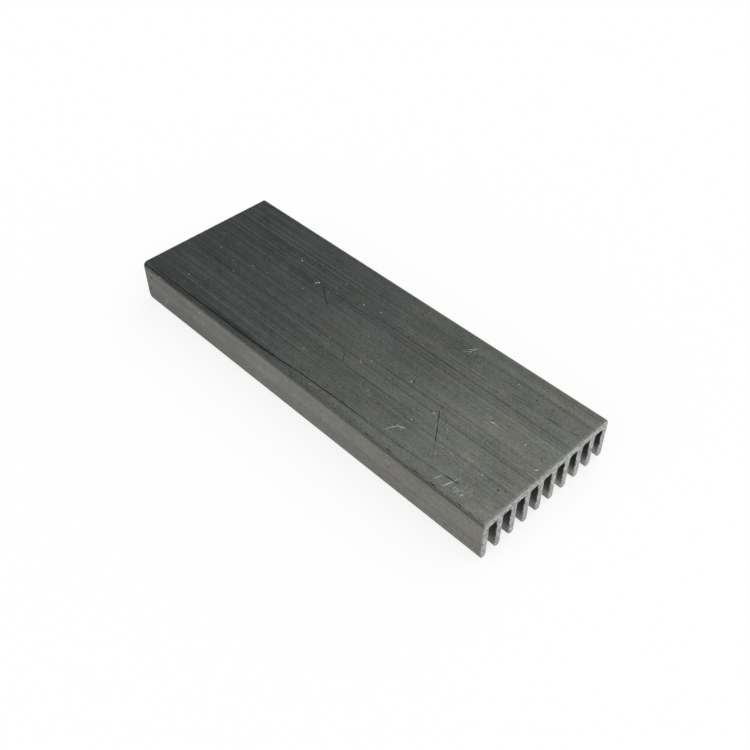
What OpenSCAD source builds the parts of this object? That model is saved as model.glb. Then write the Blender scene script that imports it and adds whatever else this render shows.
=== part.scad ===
// Extruded aluminium heat sink: one flat plate with a row of tapered fins under it, sawn to
// length from a long bar. The flat mounting face is up and the fins point down. X runs across
// the fins and Y along the extrusion. The origin is under the middle of the part, level with
// the fin tips that it stands on.

/* [Overall] */
// Length of the sawn piece, along the extrusion
length = 100; // [20:1:300]
// Width across all the fins
width = 35; // [28:0.5:60]
// Height from the fin tips to the mounting face
height = 10; // [6:0.5:30]

/* [Plate] */
// Thickness of the plate, from its mounting face to the slot floors
plate_t = 2; // [1.5:0.1:4]
// Radius of the two long edges of the mounting face
edge_r = 1; // [0.2:0.1:1.4]

/* [Fins] */
// Number of fins, counting the two side fins
fin_count = 10; // [5:1:12]
// Thickness of an inner fin where it leaves the plate
fin_root_t = 1.55; // [1.5:0.05:2.4]
// Thickness of an inner fin at its round tip
fin_tip_t = 1.4; // [0.6:0.05:1.45]
// Thickness of a side fin where it leaves the plate
side_fin_t = 1.4; // [1.2:0.05:3]
// Radius of the fillet between a fin and a slot floor
root_r = 0.3; // [0.1:0.05:0.6]

/* [Wear] */
// Radius worn on the far lower corner of the left side fin
worn_r = 2; // [0.5:0.1:4]

/* [Hidden] */
$fn = 64;
// A cut runs this far past the surface that it starts from
over = 1;
// An arc bites this far into the flat face that it runs into, so that no step is left there
bite = 0.001;
fin_h = height - plate_t;
inner_fins = fin_count - 2;
slot_w = (width - 2 * side_fin_t - inner_fins * fin_root_t) / (fin_count - 1);
pitch = slot_w + fin_root_t;
fillet_r = min(root_r, 0.45 * slot_w);
// What a tapered face takes off the fin between the plate and the tip
taper = (fin_root_t - fin_tip_t) / 2;
side_tip_r = (side_fin_t - taper) / 2;

// Where a straight line down from point p touches the right of a circle of radius r round c
function touch(p, c, r) =
    let (d = p - c, turn = atan2(d[0], d[1]) + acos(r / norm(d)))
    c + r * [sin(turn), cos(turn)];

// What rounding takes off a square corner at the origin whose two faces run to -x and -y
module corner_scrap(r) {
    difference() {
        translate([-r, -r]) square(r + over);
        translate([-r, -r]) circle(r);
    }
}

// Presses a flat outline through the die, for the whole length of the part
module extruded() {
    rotate([90, 0, 0]) linear_extrude(length, center = true) children();
}

// The fillet in the slot on the right of a fin, between the slot floor and the fin's face,
// which runs from corner to foot
module root_fillet(corner, foot) {
    face = (foot - corner) / norm(foot - corner);
    reach = fillet_r / tan(acos(face[0]) / 2);
    on_floor = corner + [reach, 0];
    on_face = corner + reach * face;
    centre = on_floor - [0, fillet_r];
    difference() {
        polygon([corner, on_floor, centre, on_face]);
        translate(centre) circle(fillet_r + bite);
    }
}

// The right half of a fin whose round tip is centred on x = 0. Its face tapers from root_x at
// the plate to the circle of the tip.
module tapered_half(root_x, tip_r) {
    tip = [0, tip_r];
    corner = [root_x, fin_h];
    foot = touch(corner, tip, tip_r - bite);
    extruded() polygon([tip, foot, corner, [0, fin_h]]);
    extruded() root_fillet(corner, foot);
    extruded() translate(tip) circle(tip_r);
}

module inner_fin() {
    tapered_half(fin_root_t / 2, fin_tip_t / 2);
    mirror([1, 0, 0]) tapered_half(fin_root_t / 2, fin_tip_t / 2);
}

// The left side fin is upright on its outer face and tapers only towards its slot
module side_fin() {
    translate([side_tip_r - width / 2, 0, 0]) {
        tapered_half(side_fin_t - side_tip_r, side_tip_r);
        extruded() translate([-side_tip_r, side_tip_r]) square([side_tip_r, fin_h - side_tip_r]);
    }
}

module plate() {
    extruded() difference() {
        translate([-width / 2, fin_h]) square([width, plate_t]);
        translate([width / 2, height]) corner_scrap(edge_r);
        translate([-width / 2, height]) mirror([1, 0]) corner_scrap(edge_r);
    }
}

// What handling has worn off the left side fin, at its far lower corner
module worn_away() {
    translate([-width / 2 - over, length / 2, 0])
        rotate([90, 0, 90])
        linear_extrude(over + side_fin_t)
        mirror([0, 1]) corner_scrap(worn_r);
}

module heat_sink() {
    color("#8a8d8b")
    difference() {
        union() {
            plate();
            for (i = [1 : inner_fins])
                translate([(i - (fin_count - 1) / 2) * pitch, 0, 0]) inner_fin();
            side_fin();
            mirror([1, 0, 0]) side_fin();
        }
        worn_away();
    }
}

heat_sink();
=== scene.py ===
import math
import random

import bmesh
import bpy
from mathutils import Matrix, Vector, noise


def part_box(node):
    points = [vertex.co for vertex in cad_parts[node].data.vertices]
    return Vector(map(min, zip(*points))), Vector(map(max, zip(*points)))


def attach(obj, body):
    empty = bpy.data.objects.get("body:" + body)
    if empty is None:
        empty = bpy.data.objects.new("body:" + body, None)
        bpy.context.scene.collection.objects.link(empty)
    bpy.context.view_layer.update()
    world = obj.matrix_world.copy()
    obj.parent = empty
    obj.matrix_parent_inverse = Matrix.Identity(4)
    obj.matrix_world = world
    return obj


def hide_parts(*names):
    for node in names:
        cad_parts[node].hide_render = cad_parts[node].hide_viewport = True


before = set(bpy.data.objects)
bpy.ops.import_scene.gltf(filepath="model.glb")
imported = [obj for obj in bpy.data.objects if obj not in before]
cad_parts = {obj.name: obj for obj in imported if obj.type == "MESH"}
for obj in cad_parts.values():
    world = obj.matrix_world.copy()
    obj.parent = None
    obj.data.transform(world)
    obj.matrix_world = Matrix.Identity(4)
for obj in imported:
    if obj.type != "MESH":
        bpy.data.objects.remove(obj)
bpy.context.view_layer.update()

# ---------------------------------------------------------------------------------------------
# Camera: held by hand over the near left corner of the bar, about 20 cm away, with a lens of
# middle length in front of a 36 mm wide sensor.
# ---------------------------------------------------------------------------------------------
MM = 0.001                     # sizes are written in millimetres, and the scene is in metres
CAMERA_PLACE = (-98.34, -107.70, 141.34)
CAMERA_TURN = (45.23, -0.18, -44.52)
SENSOR_WIDTH = 36.0
FOCAL_LENGTH = 46.26
LENS_SHIFT = (-0.0133, 0.0067)
NEAREST_SEEN = 5.0

camera_data = bpy.data.cameras.new("product_camera")
camera_data.sensor_width = SENSOR_WIDTH
camera_data.lens = FOCAL_LENGTH
camera_data.shift_x, camera_data.shift_y = LENS_SHIFT
camera_data.clip_start = NEAREST_SEEN * MM
camera = bpy.data.objects.new("product_camera", camera_data)
camera.location = Vector(CAMERA_PLACE) * MM
camera.rotation_euler = [math.radians(turn) for turn in CAMERA_TURN]
bpy.context.scene.collection.objects.link(camera)
bpy.context.scene.camera = camera
bpy.context.scene.view_settings.view_transform = "Standard"


# ---------------------------------------------------------------------------------------------
# Studio: a wide sheet of white paper under a pale sky. The sky is full overhead and in front of
# the bar, and dim and a little cool low down behind it, as in a room with one big window.
# ---------------------------------------------------------------------------------------------
def linear(hex_colour):
    """Turns an sRGB hex colour such as #808080 into the linear RGBA that the nodes take."""
    parts = [int(hex_colour[i:i + 2], 16) / 255 for i in (1, 3, 5)]
    return [p / 12.92 if p <= 0.04045 else ((p + 0.055) / 1.055) ** 2.4 for p in parts] + [1.0]


def add(tree, kind, inputs=None, **settings):
    """Adds a node. An input, by name or number, is a value, a socket, or a node whose first
    output it takes."""
    node = tree.nodes.new(kind)
    for name, value in settings.items():
        setattr(node, name, value)
    for key, value in (inputs or {}).items():
        if isinstance(value, bpy.types.Node):
            value = value.outputs[0]
        if isinstance(value, bpy.types.NodeSocket):
            tree.links.new(value, node.inputs[key])
        else:
            node.inputs[key].default_value = value
    return node


FLOOR_SIZE = 3000.0
PAPER = "#f4f4f2"
PAPER_GLOW = 1.05              # how white the bare paper looks, where 1 is white
PAPER_SHARE = 0.75             # the rest of the paper is lit, and so it keeps the bar's shadow

paper = bpy.data.materials.new("white_paper")
paper.use_nodes = True
tree = paper.node_tree
tree.nodes.clear()
ray = add(tree, "ShaderNodeLightPath")
seen = add(tree, "ShaderNodeMath", {0: ray.outputs["Is Camera Ray"],
                                    1: ray.outputs["Is Glossy Ray"]}, operation="MAXIMUM")
seen = add(tree, "ShaderNodeMath", {0: seen, 1: ray.outputs["Is Transmission Ray"]},
           operation="MAXIMUM")
share = add(tree, "ShaderNodeMath", {0: seen, 1: PAPER_SHARE}, operation="MULTIPLY")
lit = add(tree, "ShaderNodeBsdfDiffuse", {"Color": linear(PAPER)})
glow = add(tree, "ShaderNodeEmission", {"Strength": PAPER_GLOW})
surface = add(tree, "ShaderNodeMixShader", {0: share, 1: lit, 2: glow})
add(tree, "ShaderNodeOutputMaterial", {"Surface": surface})

half_floor = FLOOR_SIZE / 2 * MM
mesh = bpy.data.meshes.new("paper_floor")
mesh.from_pydata([(-half_floor, -half_floor, 0), (half_floor, -half_floor, 0),
                  (half_floor, half_floor, 0), (-half_floor, half_floor, 0)],
                 [], [(0, 1, 2, 3)])
mesh.materials.append(paper)
floor = bpy.data.objects.new("paper_floor", mesh)
bpy.context.scene.collection.objects.link(floor)

SKY_FULL = (1.15, 1.15, 1.15, 1.0)
SKY_DIM = (0.165, 0.185, 0.195, 1.0)
DIM_ABOVE = 0.33               # the sky starts to dim where it lies this far towards +Y
DIM_FROM = 0.58

world = bpy.data.worlds.new("pale_sky")
world.use_nodes = True
bpy.context.scene.world = world
tree = world.node_tree
tree.nodes.clear()
where = add(tree, "ShaderNodeTexCoord")
parts = add(tree, "ShaderNodeSeparateXYZ", {0: where.outputs["Generated"]})
behind = add(tree, "ShaderNodeMapRange",
             {"Value": parts.outputs["Y"], "From Min": DIM_ABOVE, "From Max": DIM_FROM},
             interpolation_type="SMOOTHSTEP")
colour = add(tree, "ShaderNodeMix", {0: behind, 6: SKY_FULL, 7: SKY_DIM}, data_type="RGBA")
sky = add(tree, "ShaderNodeBackground", {"Color": colour.outputs[2]})
add(tree, "ShaderNodeOutputWorld", {"Surface": sky})

# ---------------------------------------------------------------------------------------------
# Finned bar: one piece of aluminium alloy, pressed hot through a steel die, so that every line
# on it runs along Y, and then sawn to length. It has had no finish but the one the die left.
# ---------------------------------------------------------------------------------------------
PLATE_T = 2.0
EDGE_R = 1.0
FIN_COUNT = 10
FIN_ROOT_T = 1.55
FIN_TIP_T = 1.4
SIDE_FIN_T = 1.4
ROOT_R = 0.3

low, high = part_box("heat_sink")
WIDTH = (high[0] - low[0]) / MM
LENGTH = (high[1] - low[1]) / MM
HEIGHT = (high[2] - low[2]) / MM
SLOT_W = (WIDTH - 2 * SIDE_FIN_T - (FIN_COUNT - 2) * FIN_ROOT_T) / (FIN_COUNT - 1)
FIN_H = HEIGHT - PLATE_T

# Mill finish aluminium, as the die leaves it: a dull grey metal with fine lines all along it,
# cloudy where oil and hands have stained it, and darkened with painted shade in the slots.
MILL_WARM = "#73756d"
MILL_COOL = "#6c716f"
MILL_ROSY = "#76736f"
MILL_DARK = "#34393a"
MILL_SPECK = "#b9bab4"


def mill_finish():
    material = bpy.data.materials.new("aluminium_mill_finish")
    material.use_nodes = True
    tree = material.node_tree
    tree.nodes.clear()
    where = add(tree, "ShaderNodeTexCoord")
    at = add(tree, "ShaderNodeVectorMath", {0: where.outputs["Object"], "Scale": 1 / MM},
             operation="SCALE")
    axis = add(tree, "ShaderNodeSeparateXYZ", {0: at})
    across = add(tree, "ShaderNodeMath", {0: axis.outputs["X"]}, operation="ABSOLUTE")

    # Each pattern is a noise: its size across and along in mm, how far it is turned from the
    # bar's length, its detail, and how much it lightens and darkens the metal. One of strength
    # 0 leaves the metal's tone alone and steers something further down
    patterns = {"lined": (4.5, 60.0, 0, 1.0, 0.0), "bands": (2.3, 150.0, 0, 2.0, 0.24),
                "clouds": (8.0, 12.0, 0, 3.0, 0.26), "smudges": (1.6, 3.4, 0.5, 3.0, 0.16),
                "wipes": (0.5, 9.0, 0.9, 2.0, 0.10), "grain": (0.24, 0.32, 0, 2.0, 0.62),
                "die_lines": (0.42, 75.0, 0, 4.0, 0.0), "dashes": (0.17, 1.5, 0, 2.0, 0.0),
                "stain": (6.0, 15.0, 0, 2.0, 0.0), "tint": (3.2, 8.0, 0.2, 3.0, 0.0)}
    drawn = {}
    tone = 1.0
    for name, (wide, long, turn, detail, strength) in patterns.items():
        turned = add(tree, "ShaderNodeVectorRotate", {"Vector": at, "Angle": turn},
                     rotation_type="Z_AXIS")
        squeezed = add(tree, "ShaderNodeVectorMath",
                       {0: turned, 1: (1 / wide, 1 / long, 1 / wide)}, operation="MULTIPLY")
        offset = add(tree, "ShaderNodeVectorMath", {0: squeezed, 1: (len(drawn) * 9.7, 0, 3.1)})
        drawn[name] = add(tree, "ShaderNodeTexNoise",
                          {"Vector": offset, "Scale": 1.0, "Detail": detail, "Roughness": 0.55})
        if strength:
            swing = add(tree, "ShaderNodeMath", {0: drawn[name], 1: 0.5}, operation="SUBTRACT")
            tone = add(tree, "ShaderNodeMath", {0: swing, 1: strength * 2, 2: tone},
                       operation="MULTIPLY_ADD")

    # The die lines come and go in strength from one side of the bar to the other
    contrast = add(tree, "ShaderNodeMapRange", {"Value": drawn["lined"], "From Min": 0.35,
                                                "From Max": 0.65, "To Min": 0.5, "To Max": 1.6})
    swing = add(tree, "ShaderNodeMath", {0: drawn["die_lines"], 1: 0.5}, operation="SUBTRACT")
    tone = add(tree, "ShaderNodeMath", {0: swing, 1: contrast, 2: tone},
               operation="MULTIPLY_ADD")

    # The deepest die lines: where each lies across the face, its width, and how dark it is
    for place, width, depth in ((-4.7, 1.1, 0.20), (-1.9, 0.5, 0.14), (2.8, 0.5, 0.20),
                                (6.3, 0.6, 0.22), (9.4, 0.4, 0.14), (-12.2, 0.5, 0.12)):
        drift = add(tree, "ShaderNodeMath", {0: drawn["lined"], 1: 0.8, 2: place - 0.4},
                    operation="MULTIPLY_ADD")
        apart = add(tree, "ShaderNodeMath", {0: axis.outputs["X"], 1: drift},
                    operation="SUBTRACT")
        apart = add(tree, "ShaderNodeMath", {0: apart}, operation="ABSOLUTE")
        line = add(tree, "ShaderNodeMapRange",
                   {"Value": apart, "From Min": 0.0, "From Max": width / 2,
                    "To Min": 1 - depth, "To Max": 1.0}, interpolation_type="SMOOTHSTEP")
        tone = add(tree, "ShaderNodeMath", {0: tone, 1: line}, operation="MULTIPLY")

    # Painted shade in the slots: their walls are darkened, most of all deep down and towards the left
    inside = add(tree, "ShaderNodeMapRange", {"Value": across, "From Min": 17.35,
                                              "From Max": 17.1}, interpolation_type="SMOOTHSTEP")
    below = add(tree, "ShaderNodeMapRange", {"Value": axis.outputs["Z"], "From Min": 8.2,
                                             "From Max": 7.9})
    in_slot = add(tree, "ShaderNodeMath", {0: inside, 1: below}, operation="MULTIPLY")
    slot_painted_shade = add(tree, "ShaderNodeMapRange",
                    {"Value": axis.outputs["Z"], "From Min": 1.2, "From Max": 3.8,
                     "To Min": 0.88, "To Max": 0.26}, interpolation_type="SMOOTHSTEP")
    sideways = add(tree, "ShaderNodeMapRange",
                   {"Value": axis.outputs["X"], "From Min": -17.0, "From Max": 17.0,
                    "To Min": 0.82, "To Max": 1.45})
    slot_painted_shade = add(tree, "ShaderNodeMath", {0: slot_painted_shade, 1: sideways}, operation="MULTIPLY")
    slot_painted_shade = add(tree, "ShaderNodeMix", {0: in_slot, 2: 1.0, 3: slot_painted_shade})
    tone = add(tree, "ShaderNodeMath", {0: tone, 1: slot_painted_shade}, operation="MULTIPLY")
    # Painted shade: the whole bar is a little darker towards the far end
    far = add(tree, "ShaderNodeMapRange",
              {"Value": axis.outputs["Y"], "From Min": -45.0, "From Max": 26.0,
               "To Min": 1.04, "To Max": 0.92}, interpolation_type="SMOOTHSTEP")
    tone = add(tree, "ShaderNodeMath", {0: tone, 1: far}, operation="MULTIPLY")
    # Patches: the middle of each and its reach across and along, and how light or dark it is
    flat = add(tree, "ShaderNodeCombineXYZ", {0: axis.outputs["X"], 1: axis.outputs["Y"]})
    for place, reach, change in (((-16.2, 18, 0), (1.0, 24, 1), 0.72),
                                 ((4.1, 20, 0), (1.9, 10, 1), 0.84),
                                 ((12.6, 43, 0), (2.6, 5, 1), 0.86),
                                 ((12.6, -17, 0), (3.0, 6, 1), 0.90),
                                 ((-9.5, -38, 0), (6.0, 9, 1), 1.09),
                                 ((-14.2, -39.5, 0), (0.5, 2.5, 1), 0.72),
                                 ((9.6, -39, 0), (1.6, 8, 1), 0.88)):
        apart = add(tree, "ShaderNodeVectorMath", {0: flat, 1: place}, operation="SUBTRACT")
        apart = add(tree, "ShaderNodeVectorMath", {0: apart, 1: reach}, operation="DIVIDE")
        apart = add(tree, "ShaderNodeVectorMath", {0: apart}, operation="LENGTH")
        ragged = add(tree, "ShaderNodeMath", {0: drawn["smudges"], 1: 0.8,
                                              2: apart.outputs["Value"]},
                     operation="MULTIPLY_ADD")
        patch = add(tree, "ShaderNodeMapRange", {"Value": ragged, "From Min": 0.4,
                                                 "From Max": 1.4, "To Min": change,
                                                 "To Max": 1.0},
                    interpolation_type="SMOOTHSTEP")
        tone = add(tree, "ShaderNodeMath", {0: tone, 1: patch}, operation="MULTIPLY")
    # Painted highlight along the two sawn edges, where their rims catch the light
    edge = add(tree, "ShaderNodeMath", {0: axis.outputs["Y"]}, operation="ABSOLUTE")
    edge = add(tree, "ShaderNodeMapRange", {"Value": edge, "From Min": 49.55,
                                            "From Max": 49.85, "To Min": 1.0, "To Max": 1.35})
    tone = add(tree, "ShaderNodeMath", {0: tone, 1: edge}, operation="MULTIPLY")
    # Grime in the hollow light just under the two long edges
    shoulder = add(tree, "ShaderNodeMapRange",
                   {"Value": axis.outputs["Z"], "From Min": 8.1, "From Max": 9.2,
                    "To Min": 1.0, "To Max": 0.55}, interpolation_type="SMOOTHSTEP")
    top = add(tree, "ShaderNodeMapRange",
              {"Value": axis.outputs["Z"], "From Min": 9.35, "From Max": 9.75})
    # The face itself is a little lighter towards the left
    lighter_to_left = add(tree, "ShaderNodeMapRange",
                  {"Value": axis.outputs["X"], "From Min": -17.0, "From Max": 17.0,
                   "To Min": 1.10, "To Max": 0.91})
    shoulder = add(tree, "ShaderNodeMix", {0: top, 2: shoulder, 3: lighter_to_left})
    tone = add(tree, "ShaderNodeMath", {0: tone, 1: shoulder}, operation="MULTIPLY")

    # The outer sides are darker towards the far end and low down
    outer = add(tree, "ShaderNodeMapRange", {"Value": across, "From Min": 16.9,
                                             "From Max": 17.3})
    side_darkening = add(tree, "ShaderNodeMapRange",
               {"Value": axis.outputs["Y"], "From Min": 4.0, "From Max": 46.0, "To Min": 1.0,
                "To Max": 0.76}, interpolation_type="SMOOTHSTEP")
    low_down = add(tree, "ShaderNodeMapRange",
                   {"Value": axis.outputs["Z"], "From Min": 3.0, "From Max": 5.0,
                    "To Min": 0.88, "To Max": 1.0}, interpolation_type="SMOOTHSTEP")
    side_darkening = add(tree, "ShaderNodeMath", {0: side_darkening, 1: low_down}, operation="MULTIPLY")
    side_darkening = add(tree, "ShaderNodeMix", {0: outer, 2: 1.0, 3: side_darkening})
    tone = add(tree, "ShaderNodeMath", {0: tone, 1: side_darkening}, operation="MULTIPLY")

    # Warm at the near end and on the two outer sides, and cooler towards the far end
    outer = add(tree, "ShaderNodeMath", {0: outer, 1: -0.5}, operation="MULTIPLY")
    cool = add(tree, "ShaderNodeMapRange", {"Value": axis.outputs["Y"], "From Min": -45.0,
                                            "From Max": 45.0, "To Min": -0.55, "To Max": 0.15})
    cool = add(tree, "ShaderNodeMath", {0: drawn["stain"], 1: 1.5, 2: cool},
               operation="MULTIPLY_ADD")
    cool = add(tree, "ShaderNodeMath", {0: cool, 1: outer})
    colour = add(tree, "ShaderNodeMix", {0: cool, 6: linear(MILL_WARM), 7: linear(MILL_COOL)},
                 data_type="RGBA")
    # A trace of red in patches, and more of it on the outer sides
    rosy = add(tree, "ShaderNodeMapRange", {"Value": drawn["tint"], "From Min": 0.48,
                                            "From Max": 0.68, "To Max": 0.6})
    rosy = add(tree, "ShaderNodeMath", {0: outer, 1: -1.0, 2: rosy}, operation="MULTIPLY_ADD")
    colour = add(tree, "ShaderNodeMix", {0: rosy, 6: colour.outputs[2], 7: linear(MILL_ROSY)},
                 data_type="RGBA")
    # Short dark dashes along the die lines
    dash = add(tree, "ShaderNodeMapRange", {"Value": drawn["dashes"], "From Min": 0.62,
                                            "From Max": 0.70, "To Max": 0.7})
    colour = add(tree, "ShaderNodeMix", {0: dash, 6: colour.outputs[2], 7: linear(MILL_DARK)},
                 data_type="RGBA")
    # White specks of corrosion, drawn a little larger than they are so that they can be seen
    cells = add(tree, "ShaderNodeTexVoronoi", {"Vector": at, "Scale": 0.42})
    share = add(tree, "ShaderNodeMath", {0: cells.outputs["Color"], 1: 0.72},
                operation="GREATER_THAN")
    speck = add(tree, "ShaderNodeMapRange", {"Value": cells.outputs["Distance"],
                                             "From Min": 0.045, "From Max": 0.075,
                                             "To Min": 0.55, "To Max": 0.0})
    speck = add(tree, "ShaderNodeMath", {0: speck, 1: share}, operation="MULTIPLY")
    toned = add(tree, "ShaderNodeVectorMath", {0: colour.outputs[2], "Scale": tone},
                operation="SCALE")
    speckled = add(tree, "ShaderNodeMix", {0: speck, 6: toned, 7: linear(MILL_SPECK)},
                   data_type="RGBA")

    roughness = add(tree, "ShaderNodeMapRange", {"Value": drawn["die_lines"], "From Min": 0.3,
                                                 "From Max": 0.7, "To Min": 0.36, "To Max": 0.48})
    relief = add(tree, "ShaderNodeMath", {0: drawn["grain"], 1: 0.5, 2: drawn["die_lines"]},
                 operation="MULTIPLY_ADD")
    bump = add(tree, "ShaderNodeBump", {"Height": relief, "Distance": 0.006 * MM,
                                        "Strength": 1.0})
    metal = add(tree, "ShaderNodeBsdfPrincipled",
                {"Base Color": speckled.outputs[2], "Metallic": 1.0, "Roughness": roughness,
                 "Normal": bump})
    add(tree, "ShaderNodeOutputMaterial", {"Surface": metal})
    return material


# Bare aluminium where the saw went through: much brighter than the skin the die leaves, torn
# into fine crossing lines, blotchy where the cut has dulled, and peppered with dark dirt.
SAWN_BRIGHT = "#c3c4c2"
SAWN_DULL = "#868a8c"
SAWN_DIRT = "#4c5153"
SAWN_EDGE = 9.72               # above this height the cut is dirty, where the saw came in


def saw_cut():
    material = bpy.data.materials.new("aluminium_saw_cut")
    material.use_nodes = True
    tree = material.node_tree
    tree.nodes.clear()
    where = add(tree, "ShaderNodeTexCoord")
    at = add(tree, "ShaderNodeVectorMath", {0: where.outputs["Object"], "Scale": 1 / MM},
             operation="SCALE")
    axis = add(tree, "ShaderNodeSeparateXYZ", {0: at})
    # The saw's lines lean across the end, and are drawn wider apart than they are
    leaning = add(tree, "ShaderNodeVectorRotate", {"Vector": at, "Angle": 0.6},
                  rotation_type="Y_AXIS")
    noises = []
    for start, size in ((at, (0.7, 0.7, 0.7)), (leaning, (0.12, 6.0, 5.0)),
                        (at, (0.26, 0.26, 0.26))):
        squeezed = add(tree, "ShaderNodeVectorMath", {0: start, 1: size}, operation="DIVIDE")
        noises.append(add(tree, "ShaderNodeTexNoise", {"Vector": squeezed, "Scale": 1.0,
                                                       "Detail": 3.0}))
    blotches, lines, pepper = noises
    mixed = add(tree, "ShaderNodeMath", {0: lines, 1: 0.5, 2: blotches},
                operation="MULTIPLY_ADD")
    dull = add(tree, "ShaderNodeMapRange", {"Value": mixed, "From Min": 0.6, "From Max": 0.95})
    colour = add(tree, "ShaderNodeMix", {0: dull, 6: linear(SAWN_BRIGHT), 7: linear(SAWN_DULL)},
                 data_type="RGBA")
    dirt = add(tree, "ShaderNodeMapRange", {"Value": pepper, "From Min": 0.57, "From Max": 0.68,
                                            "To Max": 0.8})
    ragged = add(tree, "ShaderNodeMath", {0: pepper, 1: 0.3, 2: axis.outputs["Z"]},
                 operation="MULTIPLY_ADD")
    edge = add(tree, "ShaderNodeMapRange", {"Value": ragged, "From Min": SAWN_EDGE + 0.1,
                                            "From Max": SAWN_EDGE + 0.22, "To Max": 0.7})
    dirt = add(tree, "ShaderNodeMath", {0: dirt, 1: edge}, operation="MAXIMUM")
    colour = add(tree, "ShaderNodeMix", {0: dirt, 6: colour.outputs[2], 7: linear(SAWN_DIRT)},
                 data_type="RGBA")
    bump = add(tree, "ShaderNodeBump", {"Height": mixed, "Distance": 0.02 * MM,
                                        "Strength": 1.0})
    metal = add(tree, "ShaderNodeBsdfPrincipled",
                {"Base Color": colour.outputs[2], "Metallic": 1.0, "Roughness": 0.5,
                 "Normal": bump})
    add(tree, "ShaderNodeOutputMaterial", {"Surface": metal})
    return material


def finned_bar_tree():
    """Geometry nodes that draw the die's outline from its sizes and press it out along Y."""
    tree = bpy.data.node_groups.new("finned_bar", "GeometryNodeTree")
    face = tree.interface
    for name, kind in (("Length", "Float"), ("Width", "Float"), ("Height", "Float"),
                       ("Fin height", "Float"), ("Fins", "Int"), ("Pitch", "Float"),
                       ("Fin root", "Float"), ("Fin foot", "Float"), ("Root fillet", "Float"),
                       ("Edge radius", "Float"), ("Point spacing", "Float"),
                       ("Line width", "Float"), ("Line depth", "Float"),
                       ("Rings", "Int"), ("Finish", "Material")):
        face.new_socket(name, in_out="INPUT", socket_type="NodeSocket" + kind)
    face.new_socket("Geometry", in_out="OUTPUT", socket_type="NodeSocketGeometry")
    size = tree.nodes.new("NodeGroupInput").outputs

    # Four corners a fin, numbered from the left: root, foot, foot, root. The first and the last
    # of all are the two upper corners of the plate.
    count = add(tree, "ShaderNodeMath", {0: size["Fins"], 1: 4}, operation="MULTIPLY")
    points = add(tree, "GeometryNodePoints", {"Count": count})
    index = add(tree, "GeometryNodeInputIndex")
    quarter = add(tree, "ShaderNodeMath", {0: index, 1: 4}, operation="DIVIDE")
    fin = add(tree, "ShaderNodeMath", {0: quarter}, operation="FLOOR")
    corner = add(tree, "ShaderNodeMath", {0: index, 1: 4}, operation="MODULO")
    from_middle = add(tree, "ShaderNodeMath", {0: corner, 1: 1.5}, operation="SUBTRACT")
    side = add(tree, "ShaderNodeMath", {0: from_middle}, operation="SIGN")
    apart = add(tree, "ShaderNodeMath", {0: from_middle}, operation="ABSOLUTE")
    at_foot = add(tree, "ShaderNodeMath", {0: apart, 1: 1}, operation="LESS_THAN")

    last_fin = add(tree, "ShaderNodeMath", {0: size["Fins"], 1: 1}, operation="SUBTRACT")
    middle = add(tree, "ShaderNodeMath", {0: last_fin, 1: 2}, operation="DIVIDE")
    steps = add(tree, "ShaderNodeMath", {0: fin, 1: middle}, operation="SUBTRACT")
    centre = add(tree, "ShaderNodeMath", {0: steps, 1: size["Pitch"]}, operation="MULTIPLY")
    thickness = add(tree, "ShaderNodeMix", {0: at_foot, 2: size["Fin root"], 3: size["Fin foot"]})
    half = add(tree, "ShaderNodeMath", {0: thickness, 1: 2}, operation="DIVIDE")
    x_fin = add(tree, "ShaderNodeMath", {0: side, 1: half, 2: centre}, operation="MULTIPLY_ADD")

    # The outer faces of the two side fins are upright, in line with the plate
    last = add(tree, "ShaderNodeMath", {0: count, 1: 1}, operation="SUBTRACT")
    from_last = add(tree, "ShaderNodeMath", {0: last, 1: index}, operation="SUBTRACT")
    on_left = add(tree, "ShaderNodeMath", {0: index, 1: 1.5}, operation="LESS_THAN")
    on_right = add(tree, "ShaderNodeMath", {0: from_last, 1: 1.5}, operation="LESS_THAN")
    outward = add(tree, "ShaderNodeMath", {0: on_right, 1: on_left}, operation="SUBTRACT")
    on_side = add(tree, "ShaderNodeMath", {0: outward}, operation="ABSOLUTE")
    half_width = add(tree, "ShaderNodeMath", {0: size["Width"], 1: 2}, operation="DIVIDE")
    outer = add(tree, "ShaderNodeMath", {0: outward, 1: half_width}, operation="MULTIPLY")
    x = add(tree, "ShaderNodeMix", {0: on_side, 2: x_fin, 3: outer})

    # The run along Y turns the outline over, so its heights are written downwards
    from_ends = add(tree, "ShaderNodeMath", {0: index, 1: from_last}, operation="MINIMUM")
    at_top = add(tree, "ShaderNodeMath", {0: from_ends, 1: 0.5}, operation="LESS_THAN")
    up = add(tree, "ShaderNodeMix", {0: at_top, 2: size["Fin height"], 3: size["Height"]})
    off_foot = add(tree, "ShaderNodeMath", {0: at_foot, 1: 1}, operation="SUBTRACT")
    y = add(tree, "ShaderNodeMath", {0: up, 1: off_foot}, operation="MULTIPLY")
    place = add(tree, "ShaderNodeCombineXYZ", {"X": x, "Y": y})
    corners = add(tree, "GeometryNodeSetPosition", {"Geometry": points, "Position": place})
    outline = add(tree, "GeometryNodePointsToCurves", {"Points": corners})
    outline = add(tree, "GeometryNodeSetSplineCyclic", {"Geometry": outline, "Cyclic": True})

    # A foot asks for a larger radius than it has room for, so it is rounded right across
    inner = add(tree, "ShaderNodeMix", {0: at_top, 2: size["Root fillet"], 3: size["Edge radius"]})
    radius = add(tree, "ShaderNodeMix", {0: at_foot, 2: inner, 3: size["Fin root"]})
    outline = add(tree, "GeometryNodeFilletCurve",
                  {"Curve": outline, "Count": 8, "Radius": radius, "Limit Radius": True},
                  mode="POLY")

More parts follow.
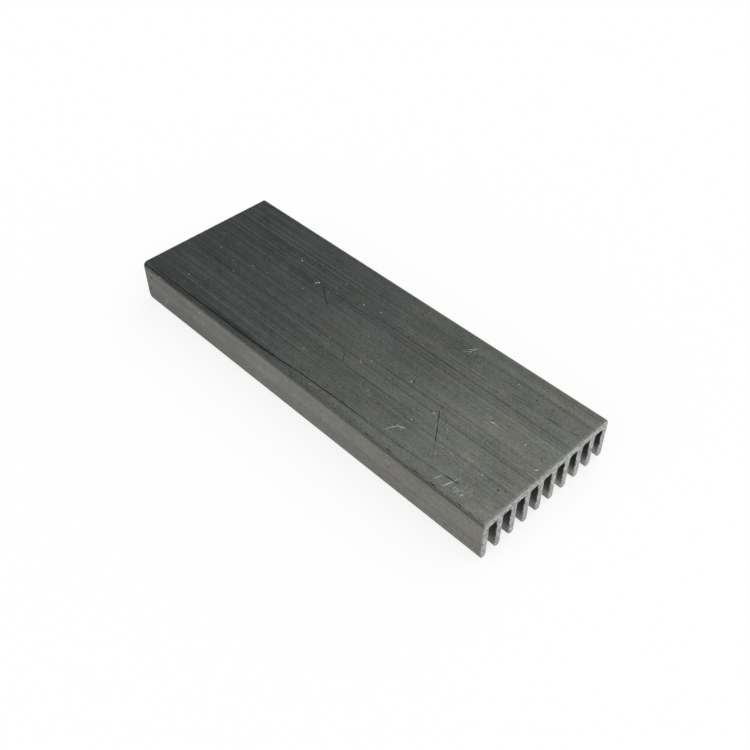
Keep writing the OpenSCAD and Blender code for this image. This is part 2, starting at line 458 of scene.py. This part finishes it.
    # The straight stretches are cut into short steps, and the arcs are short already
    here = add(tree, "GeometryNodeInputIndex")
    ahead = add(tree, "GeometryNodeOffsetPointInCurve", {"Offset": 1, "Point Index": here})
    position = add(tree, "GeometryNodeInputPosition")
    following = add(tree, "GeometryNodeFieldAtIndex",
                    {"Value": position, "Index": ahead.outputs["Point Index"]},
                    data_type="FLOAT_VECTOR", domain="POINT")
    step = add(tree, "ShaderNodeVectorMath", {0: following, 1: position}, operation="DISTANCE")
    cuts = add(tree, "ShaderNodeMath", {0: step.outputs["Value"], 1: size["Point spacing"]},
               operation="DIVIDE")
    cuts = add(tree, "ShaderNodeMath", {0: cuts}, operation="FLOOR")
    outline = add(tree, "GeometryNodeSubdivideCurve", {"Curve": outline, "Cuts": cuts})

    # The lines that the die scores into the plate's face and into the two outer sides
    spread = add(tree, "ShaderNodeVectorMath", {0: position, 1: size["Line width"]},
                 operation="DIVIDE")
    lines = add(tree, "ShaderNodeTexNoise", {"Vector": spread, "Scale": 1.0, "Detail": 3.0})
    depth = add(tree, "ShaderNodeMapRange", {"Value": lines, "From Min": 0.42, "From Max": 0.72,
                                             "To Max": size["Line depth"]})
    inwards = []
    for axis, edge in (("X", half_width), ("Y", size["Height"])):
        part = add(tree, "ShaderNodeSeparateXYZ", {0: position}).outputs[axis]
        reach = add(tree, "ShaderNodeMath", {0: part}, operation="ABSOLUTE")
        outer = add(tree, "ShaderNodeMath", {0: reach, 1: edge, 2: 0.001}, operation="COMPARE")
        away = add(tree, "ShaderNodeMath", {0: part}, operation="SIGN")
        push = add(tree, "ShaderNodeMath", {0: outer, 1: away}, operation="MULTIPLY")
        push = add(tree, "ShaderNodeMath", {0: push, 1: depth}, operation="MULTIPLY")
        inwards.append(add(tree, "ShaderNodeMath", {0: push, 1: -1}, operation="MULTIPLY"))
    scored = add(tree, "ShaderNodeCombineXYZ", {"X": inwards[0], "Y": inwards[1]})
    outline = add(tree, "GeometryNodeSetPosition", {"Geometry": outline, "Offset": scored})

    half_length = add(tree, "ShaderNodeMath", {0: size["Length"], 1: 2}, operation="DIVIDE")
    back = add(tree, "ShaderNodeMath", {0: half_length, 1: -1}, operation="MULTIPLY")
    start = add(tree, "ShaderNodeCombineXYZ", {"Y": back})
    end = add(tree, "ShaderNodeCombineXYZ", {"Y": half_length})
    run = add(tree, "GeometryNodeCurvePrimitiveLine", {"Start": start, "End": end})
    run = add(tree, "GeometryNodeResampleCurve", {"Curve": run, "Count": size["Rings"]},
              mode="COUNT")
    bar = add(tree, "GeometryNodeCurveToMesh", {"Curve": run, "Profile Curve": outline,
                                                "Fill Caps": True})
    bar = add(tree, "GeometryNodeRealizeInstances", {"Geometry": bar})
    bar = add(tree, "GeometryNodeMergeByDistance", {"Geometry": bar, "Distance": 0.002})
    bar = add(tree, "GeometryNodeSetMaterial", {"Geometry": bar, "Material": size["Finish"]})
    add(tree, "NodeGroupOutput", {"Geometry": bar})
    return tree


POINT_SPACING = 0.14
LINE_W = 0.45
LINE_DEPTH = 0.012
RINGS = 9

# The flat end of a fin, before it is rounded, is a little wider than its round tip
lean = math.atan((FIN_ROOT_T - FIN_TIP_T) / 2 / FIN_H)
fin_foot_t = FIN_TIP_T / math.tan(math.pi / 4 + lean / 2)
mill = mill_finish()
sawn = saw_cut()
maker = bpy.data.objects.new("bar_maker", bpy.data.meshes.new("bar_maker"))
bpy.context.scene.collection.objects.link(maker)
press = maker.modifiers.new("press", "NODES")
press.node_group = finned_bar_tree()
sizes = {"Length": LENGTH, "Width": WIDTH, "Height": HEIGHT, "Fin height": FIN_H,
         "Fins": FIN_COUNT, "Pitch": SLOT_W + FIN_ROOT_T, "Fin root": FIN_ROOT_T,
         "Fin foot": fin_foot_t, "Root fillet": ROOT_R, "Edge radius": EDGE_R,
         "Point spacing": POINT_SPACING, "Line width": LINE_W, "Line depth": LINE_DEPTH,
         "Rings": RINGS, "Finish": mill}
for item in press.node_group.interface.items_tree:
    if item.in_out == "INPUT":
        press[item.identifier] = sizes[item.name]
evaluated = maker.evaluated_get(bpy.context.evaluated_depsgraph_get())
bar_mesh = bpy.data.meshes.new_from_object(evaluated)
bpy.data.objects.remove(maker)

# The saw leaves a ragged rim round each end: its width in mm, and how unevenly it broke away
RIM_W = 0.09
RIM_UNEVEN = 0.5
RIM_WAVE = 0.55                # length of the waves along the rim
RIM_BRIGHT = 0.05              # above this level of the noise a stretch of the rim shines
RIM_SEED = 7                   # without a seed the vector noise starts from the clock

noise.seed_set(RIM_SEED)
bm = bmesh.new()
bm.from_mesh(bar_mesh)
ends = [face for face in bm.faces if len(face.verts) > 4]
for end in ends:
    end.material_index = 1
    rim = list(end.verts)
    into_bar = 1 if end.calc_center_median().y < 0 else -1
    ring = bmesh.ops.inset_individual(bm, faces=[end], thickness=RIM_W)["faces"]
    for face in ring:
        flake = noise.noise(face.calc_center_median() / RIM_WAVE + Vector((7, 7, 7)))
        face.material_index = 1 if flake > RIM_BRIGHT else 0
    for vert in rim:
        broken = 1 + RIM_UNEVEN * noise.noise(vert.co / RIM_WAVE)
        vert.co.y += into_bar * RIM_W * broken
    for vert in end.verts:
        wave = noise.noise_vector(vert.co / (2 * RIM_WAVE))
        vert.co += Vector((wave.x, 0, wave.z)) * RIM_W * 0.25
bmesh.ops.triangulate(bm, faces=ends)
bm.to_mesh(bar_mesh)
bm.free()
bar_mesh.transform(Matrix.Scale(MM, 4))
bar_mesh.materials.append(sawn)
bar = bpy.data.objects.new("finned_bar", bar_mesh)
bpy.context.scene.collection.objects.link(bar)

# Years in a box of scrap have marked the bar. The old marks are dark with grime and the fresh
# ones bright, and each is cut into the metal. Places are x and y on the plate's face, in mm.
grime = bpy.data.materials.new("grime_in_scratches")
grime.use_nodes = True
surface = grime.node_tree.nodes["Principled BSDF"]
surface.inputs["Base Color"].default_value = linear("#24292a")
surface.inputs["Roughness"].default_value = 0.8
surface.inputs["Specular IOR Level"].default_value = 0.2
scraped = bpy.data.materials.new("aluminium_scraped_bright")
scraped.use_nodes = True
surface = scraped.node_tree.nodes["Principled BSDF"]
surface.inputs["Base Color"].default_value = linear("#c4c5c2")
surface.inputs["Metallic"].default_value = 1.0
surface.inputs["Roughness"].default_value = 0.45
GRIME, BRIGHT, WORN = 0, 1, 2
UP, LEFT = Vector((0, 0, 1)), Vector((-1, 0, 0))
CLEAR = 0.03                   # how far a cutter stands out of the metal
STEP = 1.1                     # length of one straight stretch of a scratch
CUT_DEPTH = 0.3                # depth of most cuts and pits, as a share of their width
ROUND_DEPTH = 0.35             # the same for cuts on the rounded edge
PIT_SIDES = 7

dice = random.Random(7)
cutters = bmesh.new()


def scratch(path, width, depth, finish, normal=UP, shake=0.035):
    """Cuts a V groove along a path, a little crooked, that runs out at both ends."""
    path = [Vector(point) for point in path]
    places = [path[0]]
    for start, end in zip(path, path[1:]):
        count = max(2, round((end - start).length / STEP))
        places += [start.lerp(end, (i + 1) / count) for i in range(count)]
    rings = []
    for i, place in enumerate(places):
        along = (places[min(i + 1, len(places) - 1)] - places[max(i - 1, 0)]).normalized()
        aside = normal.cross(along)
        part = i / (len(places) - 1)
        swell = max(0.12, math.sin(math.pi * part) ** 0.4) * dice.uniform(0.75, 1.15)
        if 0 < part < 1:
            place = place + aside * dice.uniform(-shake, shake)
        half = aside * width / 2 * swell * (1 + CLEAR / depth)
        rings.append([cutters.verts.new(place + half + normal * CLEAR),
                      cutters.verts.new(place - half + normal * CLEAR),
                      cutters.verts.new(place - normal * depth * swell)])
    walls = [cutters.faces.new(rings[0][::-1]), cutters.faces.new(rings[-1])]
    for near, far in zip(rings, rings[1:]):
        for j in range(3):
            k = (j + 1) % 3
            walls.append(cutters.faces.new((near[j], near[k], far[k], far[j])))
    for wall in walls:
        wall.material_index = finish


def pit(place, size, depth, finish, normal=UP):
    """Cuts a small uneven hollow, as a knock from something hard leaves."""
    place = Vector(place)
    aside = normal.orthogonal().normalized()
    ahead = normal.cross(aside)
    rim = []
    for i in range(PIT_SIDES):
        turn = 2 * math.pi * (i + dice.uniform(-0.25, 0.25)) / PIT_SIDES
        reach = size / 2 * dice.uniform(0.7, 1.2) * (1 + CLEAR / depth)
        rim.append(cutters.verts.new(place + normal * CLEAR
                                     + reach * (math.cos(turn) * aside + math.sin(turn) * ahead)))
    tip = cutters.verts.new(place - normal * depth)
    walls = [cutters.faces.new(rim)]
    for i in range(PIT_SIDES):
        walls.append(cutters.faces.new((rim[(i + 1) % PIT_SIDES], rim[i], tip)))
    for wall in walls:
        wall.material_index = finish


def on_face(x, y):
    return (x, y, HEIGHT)


def scuff(x, y, spread_x, spread_y, count, turn):
    """Cuts a patch of short bright hairlines that all run roughly one way."""
    for i in range(count):
        middle = Vector((x + dice.gauss(0, spread_x), y + dice.gauss(0, spread_y), HEIGHT))
        way = turn + dice.gauss(0, 0.35)
        half = Vector((math.cos(way), math.sin(way), 0)) * dice.uniform(0.15, 0.7)
        width = dice.uniform(0.07, 0.13)
        scratch([middle - half, middle + half], width, width * CUT_DEPTH, BRIGHT)


# The long score, from where the bar was dragged along a corner, and a lighter one inside it
scratch([on_face(x, y) for x, y in ((-16.6, 48.5), (-16.8, 38), (-16.7, 29), (-16.6, 21),
                                    (-16.5, 13), (-16.15, 6), (-15.8, 1))], 0.70, 0.20, GRIME)
scratch([on_face(x, y) for x, y in ((-16.05, 6), (-15.6, -1), (-15.3, -10), (-15.15, -19))],
        0.30, 0.09, GRIME)
scratch([on_face(x, y) for x, y in ((-15.25, -15), (-15.1, -28), (-14.7, -35), (-14.0, -42))],
        0.12, 0.036, GRIME)
scratch([on_face(-16.1, 30.0), on_face(-15.9, 14.0)], 0.18, 0.05, GRIME)
scratch([on_face(-14.5, -37.4), on_face(-14.0, -41.5)], 0.24, 0.06, GRIME)
# Dark cuts, most of them across the die lines: the places each goes through, and its width
for width, path in ((0.18, ((-11.5, -32.6), (-9.4, -31.0), (-2.8, -26.0))),
                    (0.09, ((-3.3, -26.6), (-4.5, -29.4), (-7.4, -30.0))),
                    (0.14, ((-7.9, -4.4), (-6.2, -3.0), (-4.5, -2.4))),
                    (0.23, ((1.4, 10.1), (2.6, 12.3), (3.6, 13.6), (6.1, 17.1))),
                    (0.20, ((11.7, 41.6), (12.2, 43.2), (13.3, 45.6))),
                    (0.15, ((0.0, -48.2), (1.4, -46.8))), (0.07, ((3.7, -44.9), (8.4, -41.2))),
                    (0.14, ((14.6, -13.3), (14.5, -16.1))), (0.15, ((14.1, -17.5), (13.1, -21))),
                    (0.11, ((8.0, -9.0), (8.6, -24.0), (8.7, -30.0))),
                    (0.14, ((8.7, -31.8), (8.9, -35.6), (9.3, -39.4))),
                    (0.14, ((9.4, -32.6), (9.8, -35.9), (9.8, -39.3))),
                    (0.10, ((10.5, -34.8), (10.4, -38.7))), (0.11, ((8.0, -31.1), (8.5, -38.8))),
                    (0.13, ((9.1, -41.0), (9.5, -45.5))), (0.17, ((9.9, -43.6), (9.9, -44.8))),
                    (0.16, ((9.6, -46.3), (9.9, -49.4))), (0.12, ((-4.9, 45), (-5.3, 30))),
                    (0.12, ((4.6, 44.0), (4.9, 12.0))), (0.15, ((4.1, 27.0), (4.2, 17.0))),
                    (0.09, ((-12.0, 20.0), (-11.4, -6.0))), (0.11, ((-3.0, -8.0), (-2.2, -34))),
                    (0.09, ((-7.9, -6.0), (-7.0, -30.0))), (0.10, ((12.4, 3.0), (13.0, -20))),
                    (0.12, ((6.4, -44.9), (8.9, -44.7)))):
    scratch([on_face(x, y) for x, y in path], width, width * CUT_DEPTH, GRIME)
# Fresh bright ones
for width, path in ((0.13, ((-17.1, -38.9), (-15.0, -39.7), (-12.4, -40.5))),
                    (0.10, ((-16.9, -39.2), (-13.6, -40.4))),
                    (0.10, ((-16.9, -36.8), (-14.2, -37.8))),
                    (0.12, ((-16.4, -41.2), (-14.4, -42.6))),
                    (0.13, ((-14.6, -22.5), (-12.8, -23.3), (-11.4, -24.0))),
                    (0.12, ((-12.2, -23.4), (-11.6, -24.8), (-11.5, -25.7))),
                    (0.14, ((12.3, -18.8), (14.8, -20.7))), (0.10, ((11.4, -18.2), (12.9, -19.9))),
                    (0.36, ((-2.3, -48.2), (-1.4, -48.9))), (0.20, ((-5.1, -25.9), (-4.6, -26.7))),
                    (0.12, ((-4.7, -26.4), (-5.3, -27.4))), (0.18, ((0.9, -34.9), (1.5, -36.4)))):
    scratch([on_face(x, y) for x, y in path], width, width * CUT_DEPTH, BRIGHT)
for patch in ((-15.3, -42.4, 0.9, 1.1, 18, -0.4), (13.4, -19.8, 0.8, 0.8, 10, -0.8),
              (1.2, -35.9, 0.7, 0.9, 9, -1.2), (-12.0, -24.0, 0.7, 0.9, 6, -0.9),
              (-16.0, -47.0, 0.8, 1.2, 8, 0.9), (6.0, 12.0, 1.2, 1.4, 6, 0.8),
              (8.0, 25.7, 0.5, 0.6, 4, 0.5), (5.0, 17.6, 0.5, 0.5, 5, 0.4)):
    scuff(*patch)

# Single knocks, bright and dark, and the dust of small ones between them
for x, y, width in ((-0.9, 32.1, 0.26), (8.0, 25.9, 0.28), (5.5, 17.5, 0.46), (7.4, 5.5, 0.30),
                    (8.2, 1.2, 0.26), (-10.5, 4.2, 0.24), (-5.0, -6.7, 0.26), (-3.3, -8.0, 0.30),
                    (-1.8, -17.5, 0.40), (-9.0, -24.5, 0.28), (-9.5, -42.5, 0.30),
                    (1.4, -43.3, 0.32), (-9.5, -13.3, 0.24), (-12.8, 39.5, 0.26),
                    (-11.8, -33.3, 0.24), (-2.2, -8.7, 0.24), (-1.2, -11.2, 0.22),
                    (1.3, -2.3, 0.24)):
    pit(on_face(x, y), width, width * CUT_DEPTH, BRIGHT)
for x, y, width in ((-5.5, 5.0, 0.34), (12.8, 7.3, 0.36), (-10.2, -46.7, 0.40),
                    (-9.5, -47.7, 0.34), (11.5, -37.7, 0.38), (-1.5, -17.8, 0.40),
                    (-14.9, -12.0, 0.30), (9.8, 36.0, 0.30), (-2.6, 22.0, 0.26)):
    pit(on_face(x, y), width, width * CUT_DEPTH, GRIME)
DUST_PITS = 70
for i in range(DUST_PITS):
    width = dice.uniform(0.12, 0.26)
    pit(on_face(dice.uniform(-15.5, 16.5), dice.uniform(-49, 49)), width, width * CUT_DEPTH,
        GRIME if dice.random() < 0.6 else BRIGHT)

# The long left edge took the most knocks, on its round and just inside it
ROUND = Vector((-1, 0, 1)).normalized()
round_middle = Vector((-WIDTH / 2 + EDGE_R, 0, HEIGHT - EDGE_R))


def on_round(y):
    return round_middle + ROUND * EDGE_R + Vector((0, y, 0))


y = 46.0
while y > -49:
    long = dice.uniform(0.4, 2.6)
    width = dice.uniform(0.08, 0.19)
    if y - long > -49 and dice.random() < (0.45 if y > 0 else 0.8):
        scratch([on_round(y), on_round(y - long)], width, width * ROUND_DEPTH, GRIME, ROUND, 0.05)
    y -= long + dice.uniform(0.1, 1.6)
for y, long, width in ((-20.3, 1.5, 0.26), (-25.6, 2.0, 0.24), (-32.4, 2.2, 0.28),
                       (-36.6, 2.3, 0.22), (-3.5, 1.6, 0.20), (-11.0, 2.4, 0.18),
                       (-16.0, 1.2, 0.20), (-43.0, 1.8, 0.18), (47.6, 1.6, 0.34),
                       (44.8, 1.2, 0.30), (41.0, 2.2, 0.30), (36.0, 3.0, 0.24)):
    scratch([on_round(y), on_round(y - long)], width, width * ROUND_DEPTH, GRIME, ROUND, 0.06)
EDGE_PITS = 26
for i in range(EDGE_PITS):
    width = dice.uniform(0.1, 0.26)
    pit(on_face(dice.uniform(-16.45, -15.9), dice.triangular(-49, 30, -30)), width, width * CUT_DEPTH,
        GRIME if dice.random() < 0.75 else BRIGHT)

# Marks on the left side
for y0, z0, y1, z1, width, finish in ((30.1, 7.5, 29.2, 8.4, 0.18, BRIGHT),
                                      (42.3, 4.3, 43.8, 1.4, 0.13, BRIGHT),
                                      (-27.7, 7.0, -26.3, 4.0, 0.10, GRIME),
                                      (12.0, 5.4, 8.0, 5.1, 0.08, BRIGHT),
                                      (-8.0, 3.0, -15.0, 3.3, 0.08, GRIME),
                                      (36.0, 6.4, 31.0, 6.2, 0.08, GRIME)):
    scratch([(-WIDTH / 2, y0, z0), (-WIDTH / 2, y1, z1)], width, width * CUT_DEPTH, finish, LEFT, 0.015)
pit((-WIDTH / 2, 47.6, 7.0), 0.6, 0.15, GRIME, LEFT)
pit((-WIDTH / 2, 48.6, 3.4), 0.5, 0.12, GRIME, LEFT)
for y, z, long in ((48.0, 9.25, 1.3), (46.2, 9.35, 0.7), (44.6, 9.2, 1.2), (42.6, 9.3, 0.8)):
    scratch([(-WIDTH / 2 + 0.04, y, z), (-WIDTH / 2 + 0.04, y - long, z + 0.1)], 0.13, 0.04,
            BRIGHT, LEFT)
SIDE_PITS = 14
for i in range(SIDE_PITS):
    width = dice.uniform(0.1, 0.2)
    pit((-WIDTH / 2, dice.uniform(-48, 48), dice.uniform(1, 8)), width, width * CUT_DEPTH,
        GRIME if dice.random() < 0.5 else BRIGHT, LEFT)

# The far lower corner of the left side fin is worn away to a round
WORN_R = 2.0
WORN_STEPS = 10
OVER = 0.5                     # how far its cutter stands out past the bar
corner = [(LENGTH / 2 + OVER, -OVER), (LENGTH / 2 - WORN_R, -OVER)]
for i in range(WORN_STEPS + 1):
    turn = math.pi / 2 * i / WORN_STEPS
    corner.append((LENGTH / 2 - WORN_R + WORN_R * math.sin(turn),
                   WORN_R - WORN_R * math.cos(turn)))
corner.append((LENGTH / 2 + OVER, WORN_R))
for x, flip in ((-WIDTH / 2 - OVER, 1), (-WIDTH / 2 + SIDE_FIN_T + 0.1, -1)):
    loop = [cutters.verts.new((x, y, z)) for y, z in corner]
    cutters.faces.new(loop[::flip]).material_index = WORN
    if flip == 1:
        outer_loop = loop
for i in range(len(corner)):
    j = (i + 1) % len(corner)
    wall = cutters.faces.new((outer_loop[j], outer_loop[i], loop[i], loop[j]))
    wall.material_index = WORN

bmesh.ops.recalc_face_normals(cutters, faces=cutters.faces)
cutter_mesh = bpy.data.meshes.new("marks")
cutters.to_mesh(cutter_mesh)
cutters.free()
cutter_mesh.transform(Matrix.Scale(MM, 4))
for finish in (grime, scraped, mill):
    cutter_mesh.materials.append(finish)
marks = bpy.data.objects.new("marks", cutter_mesh)
bpy.context.scene.collection.objects.link(marks)
carve = bar.modifiers.new("carve", "BOOLEAN")
carve.object = marks
carve.operation = "DIFFERENCE"
carve.solver = "EXACT"
carve.use_self = True
carve.material_mode = "TRANSFER"
evaluated = bar.evaluated_get(bpy.context.evaluated_depsgraph_get())
carved = bpy.data.meshes.new_from_object(evaluated)
bar.modifiers.clear()
bar.data = carved
bpy.data.objects.remove(marks)

SHARP_FROM = 20                # degrees between two faces that make an edge sharp
carved.shade_smooth()
carved.set_sharp_from_angle(angle=math.radians(SHARP_FROM))
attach(bar, "root")
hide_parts("heat_sink")
